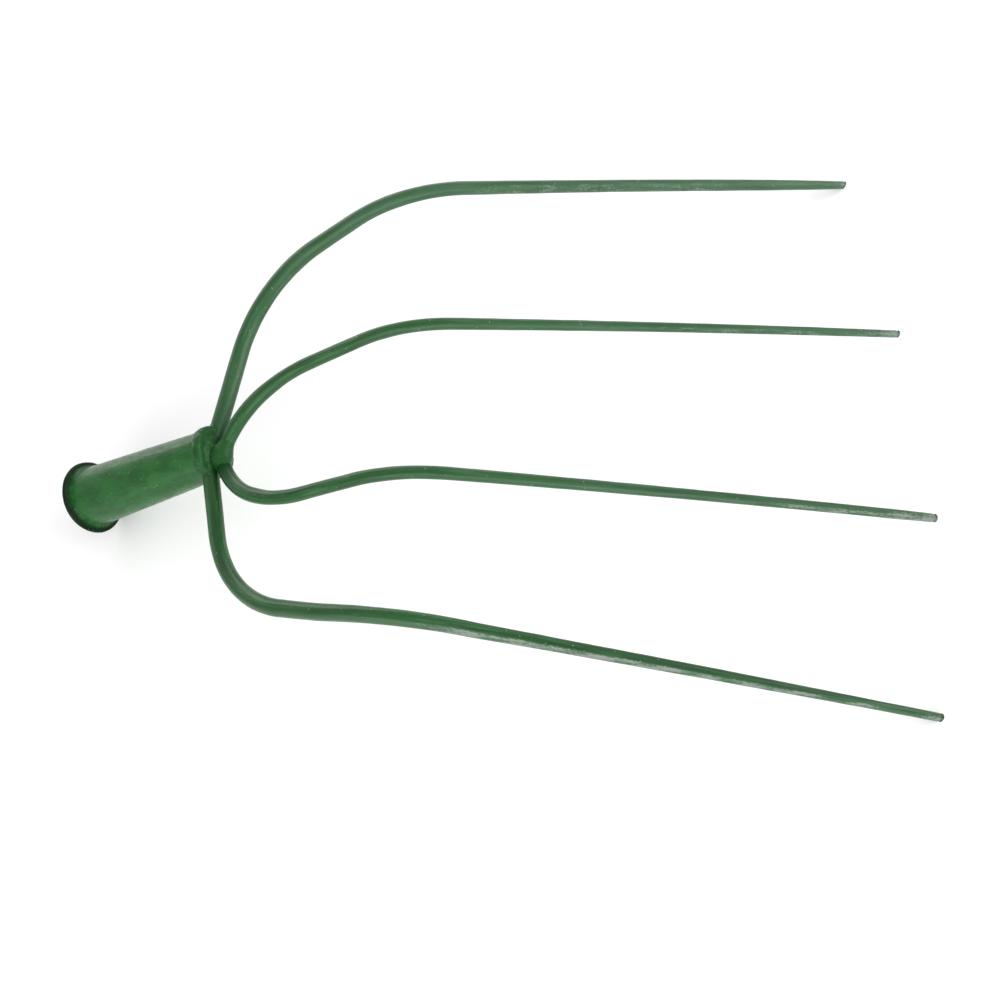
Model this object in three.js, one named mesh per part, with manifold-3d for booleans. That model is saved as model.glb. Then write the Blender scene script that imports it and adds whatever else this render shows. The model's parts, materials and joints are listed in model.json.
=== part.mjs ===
// Head of a four-tine garden fork: a tapered steel socket with a thick lip at its mouth, closed near its front
// by a plate, and four bent round-bar tines welded across that end. Millimetres, +Z up.
//
// The head is drawn along its socket: X runs along the socket's axis towards the tines, Y is across, Z is the
// domed side. The whole head is then tilted to lie as it does on the ground, on its lip and two outer tips.

import * as THREE from 'three';
import { mergeVertices } from 'three/addons/utils/BufferGeometryUtils.js';
import Module from 'manifold-3d';

const wasm = await Module();
wasm.setup();

// Socket, measured along X from the front face of the end plate.
const SOCKET_MOUTH = -96;
const SOCKET_FRONT = 10;
const MOUTH_RADIUS = 18;
const FRONT_RADIUS = 14.2;
const SOCKET_WALL = 2;

// Lip around the mouth, an oval section.
const LIP_OUTER_RADIUS = 22;
const LIP_LENGTH = 5.2;

const PLATE_THICKNESS = 3;
const FIT_GAP = 0.3;

// The tines meet a little to one side of the socket's axis, and each pair is turned a little, in degrees.
const ROOT_OFFSET = -3.55;
const OUTER_PAIR_TURN = 1;
const INNER_PAIR_TURN = -0.2;
const OUTER_ROOT_X = 5.6;
const INNER_ROOT_X = 15.2;

// A tine is a straight bar bent twice. In plan it leaves the root nearly across the socket, takes a close
// bend, then a wide sweep, and ends in a straight run. Seen from the side it climbs, turns down at the shoulder
// and bows slightly to the tip. Angles are in degrees, lengths and radii along the bar's centre line.
const OUTER_LEFT_PLAN = {
  rootAngle: 74.52,
  rootRun: 66.5,
  bendRadius: 70.4,
  sweepAngle: 9.89,
  sweepRadius: 2828,
  endAngle: 7.91,
};
const OUTER_RIGHT_PLAN = {
  rootAngle: 76.09,
  rootRun: 50,
  bendRadius: 75.2,
  sweepAngle: 17.78,
  sweepRadius: 735.5,
  endAngle: 8.3,
};
const INNER_PLAN = {
  rootAngle: 71.5,
  rootRun: 0,
  bendRadius: 52.5,
  sweepAngle: 25.2,
  sweepRadius: 91,
  endAngle: 2.6,
};
const OUTER_PROFILE = {
  climbAngle: 0.86,
  climbRun: 102.15,
  shoulderRadius: 85,
  dropAngle: 43.52,
  bowRadius: 6200,
};
const INNER_PROFILE = {
  climbAngle: 0,
  climbRun: 98,
  shoulderRadius: 76,
  dropAngle: 39.4,
  bowRadius: 5600,
};

// Each bar thins towards its tip: bar radius at distances along it.
const OUTER_LEFT_TAPER = [
  [0, 4.95], [130, 4.75], [176, 4.25], [230, 3.85], [300, 3.5], [358, 3.35], [410, 3.15], [440, 2.85],
  [471.6, 2.25],
];
const INNER_LEFT_TAPER = [
  [0, 4.3], [35, 4.2], [60, 3.75], [124, 3.4], [202, 3], [280, 2.62], [345, 2.35], [410, 2],
];
const INNER_RIGHT_TAPER = [
  [0, 4.2], [46, 4.15], [60, 3.85], [137, 3.47], [202, 3.15], [280, 2.75], [345, 2.6], [397, 2.5],
  [415.5, 2.2],
];
const OUTER_RIGHT_TAPER = [
  [0, 4.75], [60, 4.45], [125, 4.55], [200, 4.05], [280, 3.35], [370, 2.85], [430, 2.35], [471.3, 2.15],
];

// A tine starts at a distance along its bar and ends at its length.
const OUTER_LEFT = {
  name: 'tine_outer_left',
  side: 1,
  start: 7,
  length: 471.6,
  rootX: OUTER_ROOT_X,
  turn: OUTER_PAIR_TURN,
  plan: OUTER_LEFT_PLAN,
  profile: OUTER_PROFILE,
  taper: OUTER_LEFT_TAPER,
};
const INNER_LEFT = {
  name: 'tine_inner_left',
  side: 1,
  start: 1.6,
  length: 410,
  rootX: INNER_ROOT_X,
  turn: INNER_PAIR_TURN,
  plan: INNER_PLAN,
  profile: INNER_PROFILE,
  taper: INNER_LEFT_TAPER,
};
const INNER_RIGHT = {
  name: 'tine_inner_right',
  side: -1,
  start: 1.6,
  length: 415.5,
  rootX: INNER_ROOT_X,
  turn: INNER_PAIR_TURN,
  plan: INNER_PLAN,
  profile: INNER_PROFILE,
  taper: INNER_RIGHT_TAPER,
};
const OUTER_RIGHT = {
  name: 'tine_outer_right',
  side: -1,
  start: 1,
  length: 471.3,
  rootX: OUTER_ROOT_X,
  turn: OUTER_PAIR_TURN,
  plan: OUTER_RIGHT_PLAN,
  profile: OUTER_PROFILE,
  taper: OUTER_RIGHT_TAPER,
};
const TINES = [OUTER_LEFT, INNER_LEFT, INNER_RIGHT, OUTER_RIGHT];

// Weld metal: a dome over the end plate that takes in the outer roots, a bead on the socket's front edge from
// one angle to another, and a bead above and below that ties the inner roots to the dome. Angles are in degrees
// around the socket from its top towards the left tines.
const ROOT_WELD = { x: 1, height: 10.8, radius: 11.6 };
const RIM_WELD = { x: 11.9, radius: 13.2, thickness: 1.6, from: -40, to: 84 };
const BRIDGE_WELD = { x: 13.4, z: 4.6, length: 4.2, width: 6.5, height: 3.4 };

// Tilt that brings the lip and the outer tips down to one level.
const REST_TILT = 21;

const SOCKET_SIDES = 48;
const OVAL_SIDES = 12;
const BAR_STEPS = 56;
const BAR_CURVE_SEGMENTS = 6;
const WEDGE_SIZE = 60;

// Point reached after a distance along a chain of straight and curved pieces. A piece has a length and a
// curvature, and heading is the starting direction.
function alongPieces(pieces, heading, distance) {
  let x = 0;
  let y = 0;
  let left = distance;
  for (const [length, curvature] of pieces) {
    const run = Math.min(left, length);
    if (curvature === 0) {
      x += run * Math.cos(heading);
      y += run * Math.sin(heading);
    } else {
      const next = heading + curvature * run;
      x += (Math.sin(next) - Math.sin(heading)) / curvature;
      y += (Math.cos(heading) - Math.cos(next)) / curvature;
      heading = next;
    }
    left -= run;
    if (left <= 0) {
      break;
    }
  }
  return [x, y];
}

// Centre line of one tine, from its root to its tip.
class TineCurve extends THREE.Curve {
  constructor(tine) {
    super();
    const { plan, profile } = tine;
    const root = THREE.MathUtils.degToRad(plan.rootAngle);
    const sweep = THREE.MathUtils.degToRad(plan.sweepAngle);
    const end = THREE.MathUtils.degToRad(plan.endAngle);
    const climb = THREE.MathUtils.degToRad(profile.climbAngle);
    const drop = THREE.MathUtils.degToRad(profile.dropAngle);
    this.start = tine.start;
    this.length = tine.length;
    this.side = tine.side;
    this.turn = THREE.MathUtils.degToRad(tine.turn);
    this.rootX = tine.rootX;
    this.planHeading = root;
    this.planPieces = [
      [plan.rootRun, 0],
      [plan.bendRadius * (root - sweep), -1 / plan.bendRadius],
      [plan.sweepRadius * (sweep - end), -1 / plan.sweepRadius],
      [Infinity, 0],
    ];
    this.sideHeading = climb;
    this.sidePieces = [
      [profile.climbRun, 0],
      [profile.shoulderRadius * (climb + drop), -1 / profile.shoulderRadius],
      [Infinity, -1 / profile.bowRadius],
    ];
  }

  getPoint(t, target = new THREE.Vector3()) {
    const distance = this.start + t * (this.length - this.start);
    const [forward, across] = alongPieces(this.planPieces, this.planHeading, distance);
    const [x, z] = alongPieces(this.sidePieces, this.sideHeading, forward);
    target.set(x, this.side * across, z);
    target.applyAxisAngle(new THREE.Vector3(0, 0, 1), this.turn);
    target.x += this.rootX;
    target.y += ROOT_OFFSET;
    return target;
  }
}

// Bar radius at a distance, from a taper's table.
function taperRadius(taper, distance) {
  const after = taper.findIndex(([mark]) => mark >= distance);
  const next = THREE.MathUtils.clamp(after, 1, taper.length - 1);
  const [from, fromRadius] = taper[next - 1];
  const [to, toRadius] = taper[next];
  return THREE.MathUtils.mapLinear(distance, from, to, fromRadius, toRadius);
}

// Round bar along a tine's centre line, thinning from root to tip. Clearance makes it fatter, for cutting.
function tineGeometry(tine, clearance = 0) {
  const curve = new TineCurve(tine);
  const barRadius = tine.taper[0][1];
  const section = new THREE.Shape().absarc(0, 0, barRadius, 0, 2 * Math.PI, false);
  const geometry = new THREE.ExtrudeGeometry(section, {
    steps: BAR_STEPS,
    curveSegments: BAR_CURVE_SEGMENTS,
    bevelEnabled: false,
    extrudePath: curve,
  });
  const centres = curve.getSpacedPoints(BAR_STEPS);
  const position = geometry.attributes.position;
  const point = new THREE.Vector3();
  for (let i = 0; i < position.count; i += 1) {
    point.fromBufferAttribute(position, i);
    const distances = centres.map((centre) => centre.distanceToSquared(point));
    const step = distances.indexOf(Math.min(...distances));
    const distance = THREE.MathUtils.lerp(tine.start, tine.length, step / BAR_STEPS);
    const radius = taperRadius(tine.taper, distance) + clearance;
    point.sub(centres[step]).multiplyScalar(radius / barRadius).add(centres[step]);
    position.setXYZ(i, point.x, point.y, point.z);
  }
  geometry.computeVertexNormals();
  return geometry;
}

// Turned shape about the X axis, from [x, radius] points that close on themselves or start and end on the
// axis.
function turnedGeometry(outline) {
  const points = outline.map(([x, radius]) => new THREE.Vector2(radius, x));
  const geometry = new THREE.LatheGeometry(points, SOCKET_SIDES);
  geometry.rotateZ(-Math.PI / 2);
  return geometry;
}

function socketRadius(x) {
  return THREE.MathUtils.mapLinear(x, SOCKET_MOUTH, SOCKET_FRONT, MOUTH_RADIUS, FRONT_RADIUS);
}

function toManifold(geometry) {
  const bare = new THREE.BufferGeometry();
  bare.setAttribute('position', geometry.attributes.position.clone());
  if (geometry.index) {
    bare.setIndex(geometry.index.clone());
  }
  const merged = mergeVertices(bare, 1e-4);
  const corners = merged.index.array;
  const kept = [];
  for (let i = 0; i < corners.length; i += 3) {
    const [a, b, c] = [corners[i], corners[i + 1], corners[i + 2]];
    if (a !== b && b !== c && c !== a) {
      kept.push(a, b, c);
    }
  }
  return new wasm.Manifold(new wasm.Mesh({
    numProp: 3,
    vertProperties: new Float32Array(merged.attributes.position.array),
    triVerts: new Uint32Array(kept),
  }));
}

function fromManifold(solid) {
  const mesh = solid.getMesh();
  const geometry = new THREE.BufferGeometry();
  geometry.setAttribute('position', new THREE.BufferAttribute(new Float32Array(mesh.vertProperties), 3));
  geometry.setIndex(new THREE.BufferAttribute(new Uint32Array(mesh.triVerts), 1));
  geometry.computeVertexNormals();
  return geometry;
}

// Ellipsoid of weld metal with the given centre and half sizes.
function weldLump(centre, halfSizes) {
  const geometry = new THREE.SphereGeometry(1, 28, 18);
  geometry.scale(...halfSizes);
  geometry.translate(...centre);
  return toManifold(geometry);
}

// Fatter copies of tines, to cut what touches them.
function tineCutters(tines) {
  return tines.map((tine) => toManifold(tineGeometry(tine, FIT_GAP)));
}

function cutAway(solid, cutters) {
  return cutters.reduce((rest, cutter) => rest.subtract(cutter), solid);
}

const outerCutters = tineCutters([OUTER_LEFT, OUTER_RIGHT]);
const innerCutters = tineCutters([INNER_LEFT, INNER_RIGHT]);
const allCutters = [...outerCutters, ...innerCutters];

// Tapered tube, open at the mouth, with its front edge notched where the outer tines cross it.
function socketTube() {
  const tube = turnedGeometry([
    [SOCKET_MOUTH, MOUTH_RADIUS],
    [SOCKET_FRONT, FRONT_RADIUS],
    [SOCKET_FRONT, FRONT_RADIUS - SOCKET_WALL],
    [SOCKET_MOUTH, MOUTH_RADIUS - SOCKET_WALL],
    [SOCKET_MOUTH, MOUTH_RADIUS],
  ]);
  return fromManifold(cutAway(toManifold(tube), outerCutters));
}

// Points around an ellipse about [x, radius], for turning.
function ovalSection(x, radius, halfLength, halfHeight) {
  const section = [];
  for (let i = 0; i <= OVAL_SIDES; i += 1) {
    const angle = (-2 * Math.PI * i) / OVAL_SIDES;
    section.push([x + halfLength * Math.cos(angle), radius + halfHeight * Math.sin(angle)]);
  }
  section[OVAL_SIDES] = section[0];
  return section;
}

function mouthLip() {
  const inner = MOUTH_RADIUS + FIT_GAP;
  const halfHeight = (LIP_OUTER_RADIUS - inner) / 2;
  const halfLength = LIP_LENGTH / 2;
  return turnedGeometry(ovalSection(SOCKET_MOUTH + halfLength, inner + halfHeight, halfLength, halfHeight));
}

function endPlate() {
  const radius = socketRadius(0) - SOCKET_WALL - FIT_GAP;
  return turnedGeometry([
    [-PLATE_THICKNESS, 0],
    [-PLATE_THICKNESS, radius],
    [0, radius],
    [0, 0],
  ]);
}

// Dome of weld metal on the end plate, around the ends of the outer tines.
function rootWeldSolid(grow) {
  const { x, height, radius } = ROOT_WELD;
  const dome = weldLump([x, 0, 0], [height + grow, radius + grow, radius + grow]);
  const behind = new THREE.BoxGeometry(40, 60, 60);
  behind.translate(FIT_GAP - grow - 20, 0, 0);
  return dome.subtract(toManifold(behind));
}

function rootWeld() {
  return fromManifold(cutAway(rootWeldSolid(0), allCutters));
}

// Part of a ring of weld metal in front of the socket's edge.
function rimWeldSolid(grow) {
  const { x, radius, thickness, from, to } = RIM_WELD;
  const ring = turnedGeometry(ovalSection(x, radius, thickness + grow, thickness + grow));
  const corners = [from, to].map((degrees) => {
    const angle = THREE.MathUtils.degToRad(degrees);
    return new THREE.Vector2(-WEDGE_SIZE * Math.cos(angle), WEDGE_SIZE * Math.sin(angle));
  });
  const triangle = new THREE.Shape([new THREE.Vector2(0, 0), ...corners]);
  const wedge = new THREE.ExtrudeGeometry(triangle, { depth: WEDGE_SIZE, bevelEnabled: false });
  wedge.rotateY(Math.PI / 2);
  return toManifold(ring).intersect(toManifold(wedge));
}

function rimWeld() {
  return fromManifold(cutAway(rimWeldSolid(0), [...allCutters, rootWeldSolid(FIT_GAP)]));
}

function bridgeWeld(side) {
  const { x, z, length, width, height } = BRIDGE_WELD;
  const bead = weldLump([x, ROOT_OFFSET, side * z], [length, width, height]);
  return fromManifold(cutAway(bead, [...allCutters, rootWeldSolid(FIT_GAP), rimWeldSolid(FIT_GAP)]));
}

function greenPaint(colour, roughness) {
  return new THREE.MeshStandardMaterial({ color: colour, roughness, metalness: 0.1 });
}

const SOCKET_GREEN = greenPaint(0x3b7040, 0.45);
const LIP_GREEN = greenPaint(0x1f4a25, 0.5);
const TINE_GREEN = greenPaint(0x2f5f38, 0.45);
const WELD_GREEN = greenPaint(0x2e5636, 0.6);

function addPiece(group, name, geometry, material) {
  const piece = new THREE.Mesh(geometry, material);
  piece.name = name;
  group.add(piece);
}

const head = new THREE.Group();
addPiece(head, 'socket_tube', socketTube(), SOCKET_GREEN);
addPiece(head, 'mouth_lip', mouthLip(), LIP_GREEN);
addPiece(head, 'socket_end_plate', endPlate(), SOCKET_GREEN);
for (const tine of TINES) {
  addPiece(head, tine.name, tineGeometry(tine), TINE_GREEN);
}
addPiece(head, 'root_weld', rootWeld(), WELD_GREEN);
addPiece(head, 'rim_weld', rimWeld(), WELD_GREEN);
addPiece(head, 'bridge_weld_upper', bridgeWeld(1), WELD_GREEN);
addPiece(head, 'bridge_weld_lower', bridgeWeld(-1), WELD_GREEN);
head.rotation.y = -THREE.MathUtils.degToRad(REST_TILT);

// The origin is on the ground, below the middle of the head's bounding box.
const fork = new THREE.Group();
fork.add(head);
fork.updateMatrixWorld(true);
const box = new THREE.Box3().setFromObject(fork, true);
const middle = box.getCenter(new THREE.Vector3());
head.position.set(-middle.x, -middle.y, -box.min.z);

export default fork;
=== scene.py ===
"""Looks of a four-tine fork head of painted steel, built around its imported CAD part.

The head is drawn in millimetres in its own frame: X runs along the socket towards the tines, Y across, Z on
the domed side. HEAD carries that frame to the part's own, in metres.
"""

import json
import math

import bpy
import numpy as np
from mathutils import Matrix, Vector


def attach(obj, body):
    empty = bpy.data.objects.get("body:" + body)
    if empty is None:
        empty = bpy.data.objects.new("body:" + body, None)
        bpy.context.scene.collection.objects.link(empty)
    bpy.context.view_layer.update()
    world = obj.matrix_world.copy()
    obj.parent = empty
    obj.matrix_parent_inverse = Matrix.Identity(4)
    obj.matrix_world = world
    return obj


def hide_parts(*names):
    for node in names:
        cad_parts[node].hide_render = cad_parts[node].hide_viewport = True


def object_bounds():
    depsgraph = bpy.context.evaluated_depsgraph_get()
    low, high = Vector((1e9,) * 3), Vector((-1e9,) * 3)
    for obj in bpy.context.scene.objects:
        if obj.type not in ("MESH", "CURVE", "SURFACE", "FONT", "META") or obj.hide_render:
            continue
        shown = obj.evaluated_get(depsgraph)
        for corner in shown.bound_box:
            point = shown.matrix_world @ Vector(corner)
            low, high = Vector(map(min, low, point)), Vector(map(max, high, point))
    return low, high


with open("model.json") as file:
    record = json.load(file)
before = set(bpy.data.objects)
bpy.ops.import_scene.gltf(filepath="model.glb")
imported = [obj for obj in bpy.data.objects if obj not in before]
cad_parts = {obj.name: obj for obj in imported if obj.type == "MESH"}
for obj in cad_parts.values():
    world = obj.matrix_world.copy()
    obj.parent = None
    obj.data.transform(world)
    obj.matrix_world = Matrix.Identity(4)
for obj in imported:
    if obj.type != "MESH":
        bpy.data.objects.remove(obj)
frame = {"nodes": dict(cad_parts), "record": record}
CAD_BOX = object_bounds()

MM = 0.001

# Camera: where it stands, seen from the point it looks at, and its turn about its own axis, in degrees. The
# aim is measured from the middle of the part's box, and lens and sensor are in millimetres.
CAMERA_AZIMUTH = 27.0553
CAMERA_ELEVATION = 61.8884
CAMERA_ROLL = -29.9266
CAMERA_DISTANCE = 0.683215
CAMERA_LENS = 45.389
CAMERA_SENSOR = 36
CAMERA_CLIP = (0.01, 50)
CAMERA_AIM = Vector((0.020169, -0.036374, -0.021286))

# Socket, measured along X from the front face of its end plate.
PLATE_THICKNESS = 3.0
SOCKET_MOUTH = -96.0
SOCKET_FRONT = 10.0
MOUTH_RADIUS = 18.0
FRONT_RADIUS = 14.2
SOCKET_WALL = 2.0
SOCKET_EDGE = 0.7
SOCKET_SIDES = 128
LIP_OUTER_RADIUS = 22.0
LIP_LENGTH = 5.2

ROOT_OFFSET = -3.55
OUTER_PAIR = {"root_x": 5.6, "turn": 1.0}
INNER_PAIR = {"root_x": 15.2, "turn": -0.2}
OUTER_LEFT_PLAN = {
    "root_angle": 74.52,
    "root_run": 66.5,
    "bend_radius": 70.4,
    "sweep_angle": 9.89,
    "sweep_radius": 2828.0,
    "end_angle": 7.91,
}
OUTER_RIGHT_PLAN = {
    "root_angle": 76.09,
    "root_run": 50.0,
    "bend_radius": 75.2,
    "sweep_angle": 17.78,
    "sweep_radius": 735.5,
    "end_angle": 8.3,
}
INNER_PLAN = {
    "root_angle": 71.5,
    "root_run": 0.0,
    "bend_radius": 52.5,
    "sweep_angle": 25.2,
    "sweep_radius": 91.0,
    "end_angle": 2.6,
}
OUTER_PROFILE = {
    "climb_angle": 0.86,
    "climb_run": 102.15,
    "shoulder_radius": 85.0,
    "drop_angle": 43.52,
    "bow_radius": 6200.0,
}
INNER_PROFILE = {
    "climb_angle": 0.0,
    "climb_run": 98.0,
    "shoulder_radius": 76.0,
    "drop_angle": 39.4,
    "bow_radius": 5600.0,
}

# Bar radius at distances along each bar.
OUTER_LEFT_TAPER = (
    (0, 4.95), (130, 4.75), (176, 4.25), (230, 3.85), (300, 3.5), (358, 3.35), (410, 3.15), (440, 2.85),
    (471.6, 2.25),
)
INNER_LEFT_TAPER = (
    (0, 4.3), (35, 4.2), (60, 3.75), (124, 3.4), (202, 3.0), (280, 2.62), (345, 2.35), (410, 2.0),
)
INNER_RIGHT_TAPER = (
    (0, 4.2), (46, 4.15), (60, 3.85), (137, 3.47), (202, 3.15), (280, 2.75), (345, 2.6), (397, 2.5),
    (415.5, 2.2),
)
OUTER_RIGHT_TAPER = (
    (0, 4.75), (60, 4.45), (125, 4.55), (200, 4.05), (280, 3.35), (370, 2.85), (430, 2.35), (471.3, 2.15),
)
TINES = {
    "tine_outer_left": {
        **OUTER_PAIR, **OUTER_LEFT_PLAN, **OUTER_PROFILE,
        "side": 1, "start": 7.0, "length": 471.6, "taper": OUTER_LEFT_TAPER,
    },
    "tine_inner_left": {
        **INNER_PAIR, **INNER_PLAN, **INNER_PROFILE,
        "side": 1, "start": 1.6, "length": 410.0, "taper": INNER_LEFT_TAPER,
    },
    "tine_inner_right": {
        **INNER_PAIR, **INNER_PLAN, **INNER_PROFILE,
        "side": -1, "start": 1.6, "length": 415.5, "taper": INNER_RIGHT_TAPER,
    },
    "tine_outer_right": {
        **OUTER_PAIR, **OUTER_RIGHT_PLAN, **OUTER_PROFILE,
        "side": -1, "start": 1.0, "length": 471.3, "taper": OUTER_RIGHT_TAPER,
    },
}
# The middle of the place where the four tines meet.
JUNCTION = np.array([10.0, ROOT_OFFSET, 0.0])
BAR_SIDES = 32
BAR_STEP = 1.6
FULL_TURN = 2 * math.pi


def head_frame():
    """Matrix from the head's millimetres to the part's metres, from the mount on the end plate's back."""
    mount = next(m for m in frame["record"]["mounts"] if m["name"] == "handle_stop")
    forward = -Vector(mount["axis"]).normalized()
    side = Vector((0, 1, 0))
    turn = Matrix((forward, side, forward.cross(side))).transposed().to_4x4()
    origin = Vector(mount["pos_m"]) + forward * PLATE_THICKNESS * MM
    return Matrix.Translation(origin) @ turn @ Matrix.Scale(MM, 4)


HEAD = np.array(head_frame())


def to_part(points):
    """Points of the head's frame, in millimetres, in the part's frame, in metres."""
    return points @ HEAD[:3, :3].T + HEAD[:3, 3]


def waves(points, wavelength, seed, count=20):
    """Smooth seeded noise, mostly within -1 to 1, that repeats over about the given wavelength."""
    draw = np.random.default_rng(seed)
    directions = draw.normal(size=(count, 3))
    directions /= np.linalg.norm(directions, axis=1)[:, None]
    rates = FULL_TURN / (wavelength * draw.uniform(0.7, 1.5, count))
    phases = draw.uniform(0, FULL_TURN, count)
    total = np.zeros(len(points))
    for direction, rate, phase in zip(directions, rates, phases):
        total += np.sin(points @ direction * rate + phase)
    return total / math.sqrt(count)


def smooth_step(value, low, high):
    t = np.clip((value - low) / (high - low), 0, 1)
    return t * t * (3 - 2 * t)


# Pieces


def add_piece(nodes, points, faces, material, attributes):
    """A smooth-shaded mesh of the part, standing for the CAD nodes named."""
    name = "painted_" + nodes[0]
    mesh = bpy.data.meshes.new(name)
    mesh.from_pydata(to_part(points).tolist(), [], faces)
    mesh.validate()
    for key, values in attributes.items():
        values = np.asarray(values, np.float32)
        if values.ndim == 1:
            mesh.attributes.new(key, "FLOAT", "POINT").data.foreach_set("value", values)
        else:
            mesh.attributes.new(key, "FLOAT_VECTOR", "POINT").data.foreach_set("vector", values.ravel())
    mesh.materials.append(material)
    mesh.shade_smooth()
    piece = bpy.data.objects.new(name, mesh)
    bpy.context.scene.collection.objects.link(piece)
    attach(piece, "root")
    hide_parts(*nodes)


def ring_faces(rings, sides, closed=False):
    """Quads between rings of points, each ring holding the same number of points."""
    faces = []
    last = rings if closed else rings - 1
    for ring in range(last):
        a = ring * sides
        b = ((ring + 1) % rings) * sides
        for side in range(sides):
            after = (side + 1) % sides
            faces.append((a + side, a + after, b + after, b + side))
    return faces


# Tines


def along_pieces(pieces, heading, distances):
    """Points and headings along a chain of straight and curved pieces, each a length and a curvature."""
    x = np.zeros_like(distances)
    y = np.zeros_like(distances)
    headings = np.full_like(distances, heading)
    start = 0.0
    for length, curvature in pieces:
        run = np.clip(distances - start, 0, length)
        after = headings + curvature * run
        if curvature == 0:
            x += run * np.cos(headings)
            y += run * np.sin(headings)
        else:
            x += (np.sin(after) - np.sin(headings)) / curvature
            y += (np.cos(headings) - np.cos(after)) / curvature
        headings = after
        start += length
    return x, y


def tine_line(tine, distances):
    """Centre line of a tine at the given distances from the middle of its pair."""
    root, sweep, end = (math.radians(tine[k]) for k in ("root_angle", "sweep_angle", "end_angle"))
    climb, drop = (math.radians(tine[k]) for k in ("climb_angle", "drop_angle"))
    plan = [
        (tine["root_run"], 0),
        (tine["bend_radius"] * (root - sweep), -1 / tine["bend_radius"]),
        (tine["sweep_radius"] * (sweep - end), -1 / tine["sweep_radius"]),
        (math.inf, 0),
    ]
    profile = [
        (tine["climb_run"], 0),
        (tine["shoulder_radius"] * (climb + drop), -1 / tine["shoulder_radius"]),
        (math.inf, -1 / tine["bow_radius"]),
    ]
    forward, across = along_pieces(plan, root, np.asarray(distances, float))
    x, z = along_pieces(profile, climb, forward)
    y = tine["side"] * across
    turn = math.radians(tine["turn"])
    return np.column_stack([
        x * math.cos(turn) - y * math.sin(turn) + tine["root_x"],
        x * math.sin(turn) + y * math.cos(turn) + ROOT_OFFSET,
        z,
    ])


def tine_radius(tine, distances):
    marks, radii = zip(*tine["taper"])
    return np.interp(distances, marks, radii)


def rounded_end(radius, bevel, steps=5):
    """(distance back from the end, share of the radius) pairs that round off the end of a bar."""
    angles = np.linspace(0, math.pi / 2, steps)
    return [(bevel * (1 - math.sin(a)), 1 - bevel / radius * (1 - math.cos(a))) for a in angles]


TIP_SHAPES = {
    "tine_outer_left": {"bevel": 0.5, "slant": 0.45, "slant_turn": 0.2},
    "tine_inner_left": {"bevel": 0.9, "slant": 0.12, "slant_turn": 0.8},
    "tine_inner_right": {"bevel": 1.2, "slant": 0.1, "slant_turn": 2.0},
    "tine_outer_right": {"bevel": 0.7, "slant": 0.18, "slant_turn": 1.2},
}
SLANT_REACH = 14.0
# Half the distance over which a bar's direction is read.
TANGENT_STEP = 0.05
# Where a bar's unevenness sets in, measured from its start, so that it leaves the weld true.
SETTLE_STRETCH = (18, 45)


def tine_piece(name, material, seed):
    """Tapered round bar along the tine's line, a little uneven, with rounded ends."""
    tine = TINES[name]
    tip = TIP_SHAPES[name]
    start, length = tine["start"], tine["length"]
    bevel = tip["bevel"]
    end = rounded_end(tine_radius(tine, length), bevel)
    body = np.linspace(start + 1, length - bevel, round((length - start) / BAR_STEP))
    stations = [(start, 0.0), (start, 0.5), (start, 0.9), (start + 0.4, 1.0)]
    stations += [(s, 1.0) for s in body[:-1]]
    stations += [(length - back, share) for back, share in reversed(end)]
    last_share = stations[-1][1]
    stations += [(length, last_share * 0.6), (length, last_share * 0.25), (length, 0.0)]
    distances = np.array([s for s, _ in stations])
    shares = np.array([share for _, share in stations])

    centres = tine_line(tine, distances)
    ahead = tine_line(tine, distances + TANGENT_STEP) - tine_line(tine, distances - TANGENT_STEP)
    tangents = ahead / np.linalg.norm(ahead, axis=1)[:, None]
    flat = np.cross([0.0, 0.0, 1.0], tangents)
    flat /= np.linalg.norm(flat, axis=1)[:, None]
    upright = np.cross(tangents, flat)

    angles = np.arange(BAR_SIDES) * FULL_TURN / BAR_SIDES
    radii = tine_radius(tine, distances) * shares
    across = flat[:, None] * np.cos(angles)[None, :, None]
    spokes = across + upright[:, None] * np.sin(angles)[None, :, None]
    points = centres[:, None] + spokes * radii[:, None, None]
    grain = np.stack([
        np.broadcast_to(distances[:, None], (len(distances), BAR_SIDES)),
        radii[:, None] * np.cos(angles)[None],
        radii[:, None] * np.sin(angles)[None],
    ], axis=-1)

    # A drawn and hammered bar: long shallow waves and faint flats.
    flat_grain = grain.reshape(-1, 3)
    uneven = 0.035 * waves(flat_grain * [0.05, 0.5, 0.5], 1.0, seed)
    uneven = uneven + 0.02 * waves(flat_grain, 9.0, seed + 1)
    settled = smooth_step(flat_grain[:, 0], *(start + edge for edge in SETTLE_STRETCH))
    bulge = uneven * settled * np.repeat(shares, BAR_SIDES)
    points = points.reshape(-1, 3) + spokes.reshape(-1, 3) * bulge[:, None]

    # The tip is cut at a slant.
    back = np.clip((distances - length + SLANT_REACH) / SLANT_REACH, 0, 1)
    lean = np.cos(angles - tip["slant_turn"])[None] - 1
    shift = tip["slant"] * radii[:, None] * lean * (back ** 3)[:, None]
    points += np.repeat(tangents, BAR_SIDES, axis=0) * shift.reshape(-1, 1)

    around = np.tile(angles, len(distances))
    attributes = {
        "grain": flat_grain,
        "wear": tine_wear(name, flat_grain, around, seed),
        # hollow: painted shade in the crevices between the bars and on the shaded root
        "hollow": np.maximum(bar_crevice_shade(points, name), root_shade(name, flat_grain)),
        "painted_light": tine_painted_light(name, flat_grain, around),
    }
    faces = ring_faces(len(distances), BAR_SIDES)
    add_piece([name], points, faces, material, attributes)
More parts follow.
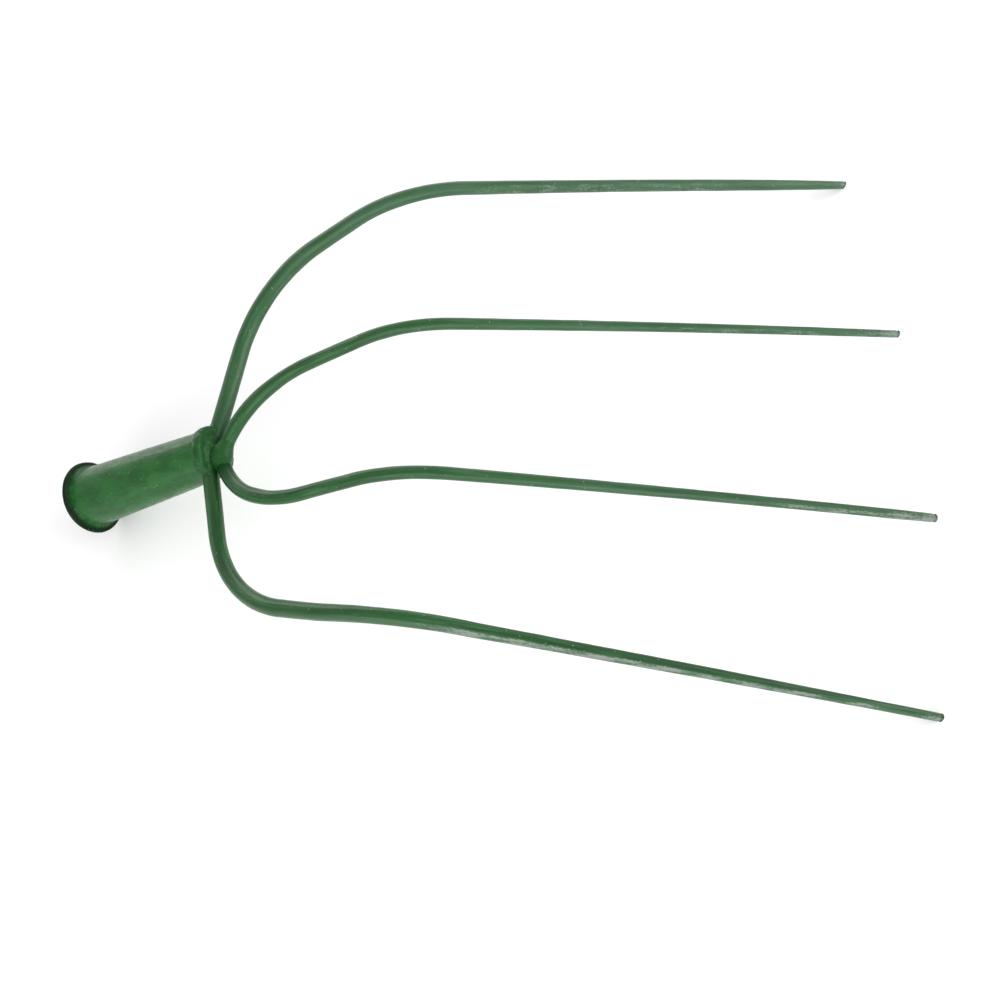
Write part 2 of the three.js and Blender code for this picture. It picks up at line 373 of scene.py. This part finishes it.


# Painted light: a tine's colour turns lighter and greyer from the root outwards, more so on its right and
# lower side. Given: how much of it there is at the root, and how much of it reaches the tine's left side.
TINE_PAINTED_LIGHT = {
    "tine_outer_left": (0.45, 0.85),
    "tine_inner_left": (0.15, 0.65),
    "tine_inner_right": (0.0, 0.55),
    "tine_outer_right": (0.1, 0.12),
}
PAINTED_LIGHT_STRETCH = (70, 300)
TIP_WEAR_REACH = 42
TIP_WEAR = {
    "tine_outer_left": 0.12,
    "tine_inner_left": 0.4,
    "tine_inner_right": 0.4,
    "tine_outer_right": 0.2,
}
# Pale stretches on a bar's right and lower side, drawn as rubbed paint: where they start and end along the
# bar, and how strong they are.
PALE_STRETCHES = {
    "tine_outer_left": (210, 430, 0.42),
    "tine_inner_left": (230, 420, 0.36),
    "tine_inner_right": (300, 440, 0.6),
    "tine_outer_right": (185, 470, 0.8),
}
PALE_STRETCH_EDGE = 60
# A bar's right side fades in and out between these angles, in radians from its left side upwards. A pale
# stretch starts a little sooner around the bar.
RIGHT_SIDE_FROM = (1.75, 2.25)
RIGHT_SIDE_TO = (4.4, 5.2)
PALE_STRETCH_INSET = -0.05
# Length of the shaded start of the tines that leave from under the weld.
SHADED_ROOTS = {"tine_inner_right": 36.0}


def tine_wear(name, grain, angles, seed):
    """How far the paint is rubbed at the tip, and the tine's pale stretch, drawn as rubbed paint."""
    distance = grain[:, 0]
    patchy = 0.5 + 0.5 * waves(grain * [0.12, 0.6, 0.6], 1.6, seed + 2)
    near_tip = smooth_step(distance - TINES[name]["length"], -TIP_WEAR_REACH, 0)
    wear = near_tip * (TIP_WEAR[name] + 0.3 * patchy)
    first, last, strength = PALE_STRETCHES[name]
    stretch = smooth_step(distance, first, first + PALE_STRETCH_EDGE)
    stretch = stretch * (1 - smooth_step(distance, last - PALE_STRETCH_EDGE, last))
    wear = wear + strength * stretch * right_side(angles, PALE_STRETCH_INSET) * (0.4 + 0.6 * patchy)
    return np.clip(wear, 0, 1)


def right_side(angles, inset=0.0):
    """1 on a bar's right and lower side and 0 on the other."""
    first, full = RIGHT_SIDE_FROM
    return smooth_step(angles, first + inset, full + inset) * (1 - smooth_step(angles, *RIGHT_SIDE_TO))


def tine_painted_light(name, grain, angles):
    """Painted light: how far the tine's colour is lightened and greyed, towards its tip and on its right and
    lower side.
    """
    root_painted_light, left_share = TINE_PAINTED_LIGHT[name]
    painted_light = root_painted_light + (1 - root_painted_light) * smooth_step(grain[:, 0], *PAINTED_LIGHT_STRETCH)
    return painted_light * (left_share + (1 - left_share) * right_side(angles))


# Painted shade darkens the bars where they come near one another.
CREVICE_WIDTH = 2.6
CREVICE_REACH = 40


def bar_crevice_shade(points, name):
    """Painted shade: how deep a tine's points lie in the crevices between it and the other tines, from 0 to
    1.
    """
    depth = np.zeros(len(points))
    near = np.linalg.norm(points - JUNCTION, axis=1) < CREVICE_REACH
    for other, tine in TINES.items():
        if other != name:
            gap = to_bar(points[near], tine, CREVICE_REACH)
            depth[near] = np.maximum(depth[near], 1 - smooth_step(gap, 0.0, CREVICE_WIDTH))
    return depth


def root_shade(name, grain):
    if name not in SHADED_ROOTS:
        return np.zeros(len(grain))
    return 1 - smooth_step(grain[:, 0], 2, SHADED_ROOTS[name])


# Socket


def socket_radius(x):
    return MOUTH_RADIUS + (FRONT_RADIUS - MOUTH_RADIUS) * (x - SOCKET_MOUTH) / (SOCKET_FRONT - SOCKET_MOUTH)


def turned_points(outline, sides):
    """Rings of points about the X axis, one ring for each (x, radius) of the outline."""
    angles = np.arange(sides) * FULL_TURN / sides
    outline = np.asarray(outline, float)
    x = np.repeat(outline[:, 0], sides)
    y = np.outer(outline[:, 1], np.sin(angles)).ravel()
    z = np.outer(outline[:, 1], np.cos(angles)).ravel()
    return np.column_stack([x, y, z])


def corner(x, radius, size, start, steps=5):
    """Quarter circle of an outline about (x, radius), from the start angle, turning one quarter."""
    angles = start + np.linspace(0, math.pi / 2, steps)
    return [(x + size * math.cos(a), radius + size * math.sin(a)) for a in angles]


def socket_piece(material):
    """Tapered tube with eased edges, slightly out of round."""
    edge = SOCKET_EDGE
    outline = []
    lengths = np.linspace(SOCKET_FRONT - 2 * edge, SOCKET_MOUTH + 2 * edge, 64)
    outline += corner(SOCKET_FRONT - edge, socket_radius(SOCKET_FRONT) - edge, edge, 0)
    outline += [(x, socket_radius(x)) for x in lengths]
    outline += corner(SOCKET_MOUTH + edge, MOUTH_RADIUS - edge, edge, math.pi / 2)
    outline += corner(SOCKET_MOUTH + edge, MOUTH_RADIUS - SOCKET_WALL + edge, edge, math.pi)
    outline += [(x, socket_radius(x) - SOCKET_WALL) for x in lengths[::-1]]
    inner_front = socket_radius(SOCKET_FRONT) - SOCKET_WALL
    outline += corner(SOCKET_FRONT - edge, inner_front + edge, edge, 3 * math.pi / 2)
    points = turned_points(outline, SOCKET_SIDES)
    radial = points * [0, 1, 1]
    radius = np.linalg.norm(radial, axis=1)
    radial /= radius[:, None]
    dents = 0.07 * waves(points * [0.45, 1, 1], 26.0, 31) + 0.025 * waves(points, 7.0, 32)
    calm = smooth_step(points[:, 0], SOCKET_MOUTH + 3, SOCKET_MOUTH + 12)
    points = points + radial * (dents * calm)[:, None]
    inside = smooth_step(-(radius - socket_radius(points[:, 0])), 0.9, 1.6)
    attributes = {
        "grain": points,
        "wear": 0.25 * inside,
        "inside": inside,
        "hollow": np.zeros(len(points)),
    }
    faces = [f[::-1] for f in ring_faces(len(outline), SOCKET_SIDES, closed=True)]
    add_piece(["socket_tube"], points, faces, material, attributes)


def lip_outline():
    """Half section of the lip: a rounded rim that runs into the tube in a hollow curve on its front side."""
    rim = 1.35
    top = LIP_OUTER_RADIUS - rim
    back = SOCKET_MOUTH + 0.1
    hollow = 3.0
    front = SOCKET_MOUTH + LIP_LENGTH
    outline = [(back + 0.3, MOUTH_RADIUS - 0.3), (back, MOUTH_RADIUS + 0.3)]
    outline += [(back, r) for r in np.linspace(MOUTH_RADIUS + 0.8, top - 0.4, 4)]
    angles = np.linspace(math.pi, 0.12 * math.pi, 12)
    outline += [(back + rim + rim * math.cos(t), top + rim * math.sin(t)) for t in angles]
    foot = front + hollow
    crown = back + 2 * rim
    for t in np.linspace(0, 1, 14):
        x = crown + (foot - crown) * t ** 1.5
        rise = (1 - t) ** 2.4
        outline.append((x, socket_radius(x) - 0.12 + (top + 0.2 - socket_radius(x)) * rise))
    outline.append((foot, socket_radius(foot) - 0.5))
    outline.append((front, socket_radius(front) - 0.5))
    return outline


def lip_piece(material):
    """Rolled collar around the mouth, run into the tube."""
    outline = lip_outline()
    points = turned_points(outline, SOCKET_SIDES)
    radial = points * [0, 1, 1]
    radial /= np.linalg.norm(radial, axis=1)[:, None]
    proud = np.linalg.norm(points[:, 1:], axis=1) - socket_radius(points[:, 0])
    uneven = 0.09 * waves(points, 17.0, 41) + 0.03 * waves(points, 4.0, 42) - 0.08
    points = points + radial * (uneven * smooth_step(proud, 0.3, 2.0))[:, None]
    attributes = {
        "grain": points,
        "wear": np.zeros(len(points)),
        "hollow": np.zeros(len(points)),
        # painted light: the lip's colour turns to the tube's green towards its foot
        "painted_light": 1 - smooth_step(proud, 0.1, 2.4),
    }
    faces = ring_faces(len(outline), SOCKET_SIDES, closed=True)
    add_piece(["mouth_lip"], points, faces, material, attributes)


# Weld metal, as distances that are blended and then skinned


def to_bar(points, tine, reach):
    """Distance to a tine's surface over the first part of its length."""
    stops = np.linspace(tine["start"], tine["start"] + reach, 10)
    line = tine_line(tine, stops)
    nearest = np.full(len(points), np.inf)
    for start, end, distance in zip(line, line[1:], stops):
        along = end - start
        share = np.clip((points - start) @ along / (along @ along), 0, 1)
        gap = np.linalg.norm(points - start - share[:, None] * along, axis=1)
        nearest = np.minimum(nearest, gap - tine_radius(tine, distance))
    return nearest


def to_oval(points, centre, half):
    """Distance to an ellipsoid, near enough."""
    q = (points - centre) / half
    k0 = np.linalg.norm(q, axis=1)
    k1 = np.linalg.norm(q / half, axis=1)
    return k0 * (k0 - 1) / np.maximum(k1, 1e-6)


def to_socket(points):
    """Distance to the front of the socket taken as solid."""
    side = np.hypot(points[:, 1], points[:, 2]) - socket_radius(points[:, 0])
    return np.maximum(side, points[:, 0] - SOCKET_FRONT)


def merge(a, b, reach):
    """Smaller of two distances, with a fillet of that reach between them."""
    share = np.clip(0.5 + 0.5 * (b - a) / reach, 0, 1)
    return b + (a - b) * share - reach * share * (1 - share)


def skin(distance_to, low, high, step):
    """Points and quads of the surface where a distance is nought: one point in each grid cell it crosses."""
    axes = [np.arange(l, h + step, step) for l, h in zip(low, high)]
    grid = np.stack(np.meshgrid(*axes, indexing="ij"), axis=-1)
    shape = grid.shape[:3]
    field = distance_to(grid.reshape(-1, 3)).reshape(shape)
    cells = tuple(n - 1 for n in shape)
    total = np.zeros(cells + (3,))
    count = np.zeros(cells)
    crossings = []
    for axis in range(3):
        first = [slice(None)] * 3
        second = [slice(None)] * 3
        first[axis] = slice(0, -1)
        second[axis] = slice(1, None)
        a, b = field[tuple(first)], field[tuple(second)]
        crossed = (a < 0) != (b < 0)
        share = np.where(crossed, a / np.where(crossed, a - b, 1), 0)
        spot = grid[tuple(first)].copy()
        spot[..., axis] += share * step
        others = [i for i in range(3) if i != axis]
        for du in (0, 1):
            for dv in (0, 1):
                part = [slice(None)] * 3
                part[others[0]] = slice(du, du + cells[others[0]])
                part[others[1]] = slice(dv, dv + cells[others[1]])
                hit = crossed[tuple(part)]
                total += spot[tuple(part)] * hit[..., None]
                count += hit
        crossings.append((axis, others, crossed, a < 0))
    used = count > 0
    number = np.full(cells, -1)
    number[used] = np.arange(used.sum())
    points = total[used] / count[used][:, None]
    faces = []
    for axis, (u, v), crossed, starts_inside in crossings:
        spots = np.argwhere(crossed)
        inner = (spots[:, u] > 0) & (spots[:, v] > 0) & (spots[:, u] < cells[u]) & (spots[:, v] < cells[v])
        spots = spots[inner]
        quad = []
        for du, dv in ((-1, -1), (0, -1), (0, 0), (-1, 0)):
            cell = spots.copy()
            cell[:, u] += du
            cell[:, v] += dv
            quad.append(number[tuple(cell.T)])
        quad = np.column_stack(quad)
        outward = starts_inside[tuple(spots.T)] ^ (axis == 1)
        quad[~outward] = quad[~outward][:, ::-1]
        faces += quad.tolist()
    return points, faces


BARS = list(TINES.values())
# Boxes that hold each weld, for skinning, and the size of their cells.
ROOT_WELD_BOX = ((-1, -27, -22), (26, 24, 22))
UPPER_WELD_BOX = ((-2, -22, -3), (29, 15, 16))
LOWER_WELD_BOX = ((-2, -22, -16), (29, 15, 3))
WELD_STEP = 0.45
# How far weld metal stays below the surfaces of the bars and the tube that it runs into.
HIDDEN = 0.2
# Lengths of bar that count for the welds, and of outer bar for the bridge welds.
WELDED_REACH = 26
BRIDGED_REACH = 14


def weld_crevice_shade(points):
    """Painted shade: how deep weld metal lies between an outer bar and an inner one, from 0 to 1."""
    left, inner_left, inner_right, right = (to_bar(points, bar, CREVICE_REACH) for bar in BARS)
    between = np.maximum(np.minimum(left, right), np.minimum(inner_left, inner_right))
    return 0.7 * (1 - smooth_step(between, 0.1, 1.4)) * smooth_step(points[:, 0], 8, 12)


def weld_piece(nodes, distance_to, box, material):
    points, faces = skin(distance_to, *box, WELD_STEP)
    attributes = {
        "grain": points,
        "wear": np.zeros(len(points)),
        "hollow": weld_crevice_shade(points),
    }
    add_piece(nodes, points, faces, material, attributes)


# A row of lumps around the tube's front edge, thinner at its first end. Turns are in degrees from the top
# towards the left tines, and it has its full size from full_from on.
RIM_BEAD = {
    "x": 9.2,
    "ring": 13.1,
    "first": -62,
    "last": 84,
    "full_from": -30,
    "steps": 14,
    "half": 2.1,
    "thin_half": 1.1,
}
ROOT_WELD_PARTS = [
    # centre, half sizes, reach of the fillet
    ((6.0, 3.0, 6.0), (5.0, 11.0, 6.6), 2.0),
    ((5.0, 0.0, -5.5), (4.6, 11.5, 7.0), 1.6),
    ((8.0, 0.5, 5.0), (5.0, 10.0, 6.4), 4.5),
    ((9.4, -5.6, 2.2), (3.0, 5.6, 4.6), 3.0),
]


def root_weld_distance(points):
    """Weld that fills the front of the socket, laps over its rim and takes in the roots of the outer bars."""
    mass = np.maximum(to_socket(points) + HIDDEN, 4.0 - points[:, 0])
    for centre, half, reach in ROOT_WELD_PARTS:
        mass = merge(mass, to_oval(points, centre, half), reach)
    turns = np.linspace(RIM_BEAD["first"], RIM_BEAD["last"], RIM_BEAD["steps"])
    marks = (RIM_BEAD["first"], RIM_BEAD["full_from"])
    halves = np.interp(turns, marks, (RIM_BEAD["thin_half"], RIM_BEAD["half"]))
    for turn, half in zip(turns, halves):
        y, z = math.sin(math.radians(turn)), math.cos(math.radians(turn))
        spot = (RIM_BEAD["x"], RIM_BEAD["ring"] * y, RIM_BEAD["ring"] * z)
        mass = merge(mass, to_oval(points, spot, (half, half, half)), 2.6)
    mass = mass - 0.2 * waves(points, 6.0, 61) - 0.05 * waves(points, 2.4, 62)
    for bar in (BARS[0], BARS[3]):
        mass = merge(mass, to_bar(points, bar, WELDED_REACH) + HIDDEN, 2.6)
    edge = np.linalg.norm(points - [8.0, ROOT_OFFSET, 0], axis=1) - 23
    return np.maximum(np.maximum(mass, edge), 0.6 - points[:, 0])


BRIDGE_WELD = {"x": 13.4, "y": -3.4, "z": 3.4, "half": (4.4, 5.6, 2.9)}
INNER_FILLET = 9.0


def bridge_weld_distance(side):
    """Bead above or below that ties the inner bars to the outer ones and rounds the corner between them."""
    centre = np.array([BRIDGE_WELD["x"], BRIDGE_WELD["y"], side * BRIDGE_WELD["z"]])

    def distance_to(points):
        inner = [to_bar(points, bar, WELDED_REACH) + HIDDEN for bar in BARS[1:3]]
        mass = merge(*inner, INNER_FILLET)
        bead = to_oval(points, centre, BRIDGE_WELD["half"])
        bead = bead - 0.16 * waves(points, 3.6, 71 + side) - 0.06 * waves(points, 1.8, 75 + side)
        mass = merge(mass, bead, 2.6)
        root_centre, root_half, _ = ROOT_WELD_PARTS[2]
        mass = merge(mass, to_oval(points, root_centre, root_half) + HIDDEN, 2.4)
        for bar in (BARS[0], BARS[3]):
            mass = merge(mass, to_bar(points, bar, BRIDGED_REACH) + HIDDEN, 1.8)
        edge = np.linalg.norm((points - centre) / [1.25, 1.5, 1.0], axis=1) - 9.5
        half = -side * points[:, 2] - 0.3
        return np.maximum(np.maximum(mass, edge), half)
    return distance_to


# Materials


def add_node(tree, kind, inputs=None, **settings):
    """A node with its settings and its inputs, each a value or another node's output."""
    node = tree.nodes.new("ShaderNode" + kind)
    for key, value in settings.items():
        setattr(node, key, value)
    for key, value in (inputs or {}).items():
        if isinstance(value, bpy.types.NodeSocket):
            tree.links.new(value, node.inputs[key])
        else:
            node.inputs[key].default_value = value
    return node


def attribute(tree, name):
    node = add_node(tree, "Attribute", attribute_name=name)
    return node.outputs["Vector"] if name == "grain" else node.outputs["Fac"]


def stretched(tree, vector, scale):
    return add_node(tree, "VectorMath", {0: vector, 1: scale}, operation="MULTIPLY").outputs["Vector"]


def noise(tree, vector, scale, detail=4.0, roughness=0.5):
    inputs = {"Vector": vector, "Scale": scale, "Detail": detail, "Roughness": roughness}
    return add_node(tree, "TexNoise", inputs).outputs["Fac"]


def level(tree, value, low, high, to_low=0.0, to_high=1.0):
    """Value between low and high carried smoothly to between to_low and to_high."""
    inputs = {"Value": value, "From Min": low, "From Max": high, "To Min": to_low, "To Max": to_high}
    return add_node(tree, "MapRange", inputs, interpolation_type="SMOOTHSTEP").outputs["Result"]


def calculate(tree, operation, a, b):
    return add_node(tree, "Math", {0: a, 1: b}, operation=operation).outputs["Value"]


def blend_colour(tree, share, a, b):
    node = add_node(tree, "Mix", data_type="RGBA", blend_type="MIX")
    for key, value in (("Factor", share), ("A", a), ("B", b)):
        socket = [s for s in node.inputs if s.name == key and s.enabled][0]
        if isinstance(value, bpy.types.NodeSocket):
            tree.links.new(value, socket)
        else:
            socket.default_value = value
    return [s for s in node.outputs if s.enabled][0]


PAINT_GLOSS = 0.28
PALE_SPECK_COLOUR = (0.34, 0.42, 0.33, 1)
CREVICE_SHADE_COLOUR = (0.006, 0.022, 0.008, 1)
CHALK_COLOUR = (0.22, 0.26, 0.225, 1)
BARE_STEEL = (0.2, 0.21, 0.2, 1)
# The unpainted inside of the tube, and its rust.
INSIDE_COLOURS = ((0.014, 0.03, 0.016, 1), (0.045, 0.035, 0.022, 1))
PLATE_COLOURS = ((0.02, 0.03, 0.02, 1), (0.07, 0.045, 0.025, 1))
# Depth of the bumps, in metres.
PAINT_RELIEF = 0.00012
PLATE_RELIEF = 0.0002


def painted_steel(name, deep, middle, light, painted_light_colour=None, gloss=PAINT_GLOSS, coarse=0.0, streak=1.0,
                  stretch=0.10, inside=False):
    """Gloss paint over steel: mottled, streaked along the grain, flecked, and rubbed where worn, with painted
    shade in its hollows and, where a colour is given for it, painted light.
    """
    material = bpy.data.materials.new(name)
    material.use_nodes = True
    tree = material.node_tree
    shader = tree.nodes["Principled BSDF"]
    grain = attribute(tree, "grain")
    along = stretched(tree, grain, (stretch, 1.0, 1.0))
    drawn = stretched(tree, grain, (0.035, 1.0, 1.0))

    mottle = noise(tree, along, 0.16, 3.0)
    colour = blend_colour(tree, level(tree, mottle, 0.36, 0.64), deep, middle)
    runs = noise(tree, drawn, 0.55, 3.0, 0.6)
    colour = blend_colour(tree, level(tree, runs, 0.5, 0.72, 0.0, 0.75 * streak), colour, light)
    thin = noise(tree, stretched(tree, grain, (0.22, 1.0, 1.0)), 0.9, 5.0, 0.6)
    colour = blend_colour(tree, level(tree, thin, 0.35, 0.5, 0.45, 0.0), colour, deep)

    # Painted light: the colour is drawn in patches towards a lighter one where the painted_light attribute is
    # high.
    if painted_light_colour:
        painted_light = attribute(tree, "painted_light")
        patches = level(tree, noise(tree, along, 0.35, 3.0), 0.3, 0.7, 0.55, 1.0)
        colour = blend_colour(tree, calculate(tree, "MULTIPLY", painted_light, patches), colour, painted_light_colour)

    # Pale raised specks.
    cells = add_node(tree, "TexVoronoi", {"Vector": grain, "Scale": 0.42}).outputs["Distance"]
    pale_speck = level(tree, cells, 0.07, 0.16, 1.0, 0.0)
    where = level(tree, noise(tree, grain, 0.21, 2.0), 0.52, 0.6)
    pale_speck = calculate(tree, "MULTIPLY", pale_speck, where)
    colour = blend_colour(tree, calculate(tree, "MULTIPLY", pale_speck, 0.6), colour, PALE_SPECK_COLOUR)

    # Painted shade: the hollows between the bars and in the welds are darkened.
    hollow = attribute(tree, "hollow")
    colour = blend_colour(tree, calculate(tree, "MULTIPLY", hollow, 0.7), colour, CREVICE_SHADE_COLOUR)

    # Rubbed paint, which also draws the tines' pale stretches: first chalky, then bare steel.
    rubbed = noise(tree, stretched(tree, grain, (0.35, 1.0, 1.0)), 1.5, 6.0, 0.75)
    wear = calculate(tree, "ADD", attribute(tree, "wear"), level(tree, rubbed, 0.32, 0.68, -0.12, 0.4))
    chalk = level(tree, wear, 0.42, 0.9)
    bare = level(tree, wear, 0.84, 0.98)
    colour = blend_colour(tree, calculate(tree, "MULTIPLY", chalk, 0.85), colour, CHALK_COLOUR)
    colour = blend_colour(tree, bare, colour, BARE_STEEL)
    if inside:
        within = attribute(tree, "inside")
        rust = level(tree, noise(tree, grain, 0.3, 6.0, 0.7), 0.4, 0.65)
        dark = blend_colour(tree, rust, *INSIDE_COLOURS)
        colour = blend_colour(tree, within, colour, dark)

    tree.links.new(colour, shader.inputs["Base Color"])
    sheen = level(tree, noise(tree, along, 0.5, 4.0), 0.35, 0.7, 0.24, 0.42)
    sheen = calculate(tree, "ADD", sheen, calculate(tree, "MULTIPLY", chalk, 0.2))
    tree.links.new(sheen, shader.inputs["Roughness"])
    # The painted shade also takes the shine off the hollows.
    shine = level(tree, hollow, 0.0, 1.0, gloss, 0.0)
    tree.links.new(shine, shader.inputs["Specular IOR Level"])
    tree.links.new(calculate(tree, "MULTIPLY", bare, 0.5), shader.inputs["Metallic"])

    peel = noise(tree, grain, 1.6, 3.0)
    brush = noise(tree, drawn, 1.4, 2.0)
    height = calculate(tree, "ADD", calculate(tree, "MULTIPLY", peel, 0.5 + coarse), brush)
    height = calculate(tree, "ADD", height, calculate(tree, "MULTIPLY", pale_speck, 0.8))
    height = calculate(tree, "SUBTRACT", height, calculate(tree, "MULTIPLY", chalk, 0.6))
    bump = add_node(tree, "Bump", {"Height": height, "Strength": 0.5, "Distance": PAINT_RELIEF})
    tree.links.new(bump.outputs["Normal"], shader.inputs["Normal"])
    return material


def plate_material():
    """Bare, blackened steel with some rust, for the closed end seen down the socket."""
    material = bpy.data.materials.new("plate_scale")
    material.use_nodes = True
    tree = material.node_tree
    shader = tree.nodes["Principled BSDF"]
    place = add_node(tree, "TexCoord").outputs["Object"]
    rust = level(tree, noise(tree, place, 320.0, 6.0, 0.7), 0.42, 0.62)
    colour = blend_colour(tree, rust, *PLATE_COLOURS)
    tree.links.new(colour, shader.inputs["Base Color"])
    tree.links.new(level(tree, rust, 0.0, 1.0, 0.45, 0.8), shader.inputs["Roughness"])
    scale = noise(tree, place, 900.0, 5.0)
    bump = add_node(tree, "Bump", {"Height": scale, "Strength": 0.5, "Distance": PLATE_RELIEF})
    tree.links.new(bump.outputs["Normal"], shader.inputs["Normal"])
    return material


# Studio


FLOOR_HALF = 6.0
WORLD_STRENGTH = 0.85
# Azimuth 0 is on the -Y side and 90 on +X. The boxes all face the middle of the part.
SIDE_BOX_DISTANCE = 2.2
SIDE_BOX_WIDTH = 3.0


def add_floor():
    """Pale floor of one large sheet."""
    mesh = bpy.data.meshes.new("floor")
    half = FLOOR_HALF
    corners = [(-half, -half, 0), (half, -half, 0), (half, half, 0), (-half, half, 0)]
    mesh.from_pydata(corners, [], [(0, 1, 2, 3)])
    floor = bpy.data.objects.new("floor", mesh)
    bpy.context.scene.collection.objects.link(floor)
    material = bpy.data.materials.new("floor_paper")
    material.use_nodes = True
    shader = material.node_tree.nodes["Principled BSDF"]
    shader.inputs["Base Color"].default_value = (0.9, 0.9, 0.9, 1)
    shader.inputs["Roughness"].default_value = 0.9
    shader.inputs["Specular IOR Level"].default_value = 0.1
    mesh.materials.append(material)


# Name, azimuth, elevation, height and radiance of each soft box.
SIDE_BOXES = (
    ("box_left", 200, 13, 0.9, 2.2),
    ("box_right", 350, 22, 1.4, 2.7),
    ("box_front", 95, 22, 1.4, 2.9),
)


def add_softbox(name, azimuth, elevation, distance, size, radiance):
    """Soft light that faces the middle of the part."""
    light = bpy.data.lights.new(name, "AREA")
    light.shape = "RECTANGLE"
    light.size, light.size_y = size
    light.energy = radiance * math.pi * size[0] * size[1]
    lamp = bpy.data.objects.new(name, light)
    back = direction(azimuth, elevation)
    lamp.location = back * distance
    lamp.rotation_euler = back.to_track_quat("Z", "Y").to_euler()
    bpy.context.scene.collection.objects.link(lamp)


def direction(azimuth, elevation):
    a, e = math.radians(azimuth), math.radians(elevation)
    return Vector((math.sin(a) * math.cos(e), -math.cos(a) * math.cos(e), math.sin(e)))


def add_world(strength):
    world = bpy.data.worlds.new("studio")
    world.use_nodes = True
    background = world.node_tree.nodes["Background"]
    background.inputs["Color"].default_value = (1, 1, 1, 1)
    background.inputs["Strength"].default_value = strength
    bpy.context.scene.world = world


def add_camera():
    data = bpy.data.cameras.new("camera")
    data.lens = CAMERA_LENS
    data.sensor_width = CAMERA_SENSOR
    data.clip_start, data.clip_end = CAMERA_CLIP
    camera = bpy.data.objects.new("camera", data)
    back = direction(CAMERA_AZIMUTH, CAMERA_ELEVATION)
    level_right = Vector((0, 0, 1)).cross(back).normalized()
    level_up = back.cross(level_right)
    roll = math.radians(CAMERA_ROLL)
    right = level_right * math.cos(roll) + level_up * math.sin(roll)
    up = level_up * math.cos(roll) - level_right * math.sin(roll)
    middle = (CAD_BOX[0] + CAD_BOX[1]) / 2
    place = Matrix((right, up, back)).transposed().to_4x4()
    place.translation = middle + CAMERA_AIM + back * CAMERA_DISTANCE
    camera.matrix_world = place
    bpy.context.scene.collection.objects.link(camera)
    bpy.context.scene.camera = camera


def build():
    socket_green = (0.009, 0.092, 0.013, 1)
    socket_paint = painted_steel(
        "socket_paint", (0.005, 0.062, 0.008, 1), socket_green, (0.02, 0.125, 0.024, 1),
        streak=0.45, stretch=0.45, inside=True)
    # The lip's own darker paint, darkened further with painted shade.
    lip_paint = painted_steel(
        "lip_paint", (0.001, 0.01, 0.002, 1), (0.0015, 0.017, 0.003, 1), (0.003, 0.03, 0.005, 1),
        painted_light_colour=socket_green, gloss=0.12, streak=0.4)
    tine_paint = painted_steel(
        "tine_paint", (0.004, 0.042, 0.006, 1), (0.011, 0.076, 0.014, 1), (0.036, 0.115, 0.042, 1),
        painted_light_colour=(0.05, 0.112, 0.06, 1), streak=1.3)
    weld_paint = painted_steel(
        "weld_paint", (0.007, 0.055, 0.01, 1), (0.012, 0.075, 0.016, 1), (0.022, 0.09, 0.026, 1),
        gloss=0.16, coarse=0.4, streak=0.5, stretch=1.0)
    socket_piece(socket_paint)
    lip_piece(lip_paint)
    for seed, name in enumerate(TINES):
        tine_piece(name, tine_paint, 100 + 10 * seed)
    weld_piece(["root_weld", "rim_weld"], root_weld_distance, ROOT_WELD_BOX, weld_paint)
    weld_piece(["bridge_weld_upper"], bridge_weld_distance(1), UPPER_WELD_BOX, weld_paint)
    weld_piece(["bridge_weld_lower"], bridge_weld_distance(-1), LOWER_WELD_BOX, weld_paint)
    plate = frame["nodes"]["socket_end_plate"]
    plate.data.materials.clear()
    plate.data.materials.append(plate_material())


def light_scene():
    """White surroundings, brighter low down on three sides, so round bars are lit from their edges in."""
    add_floor()
    add_world(WORLD_STRENGTH)
    for name, azimuth, elevation, height, radiance in SIDE_BOXES:
        add_softbox(name, azimuth, elevation, SIDE_BOX_DISTANCE, (SIDE_BOX_WIDTH, height), radiance)
    bpy.context.scene.view_settings.view_transform = "Standard"


build()
light_scene()
add_camera()
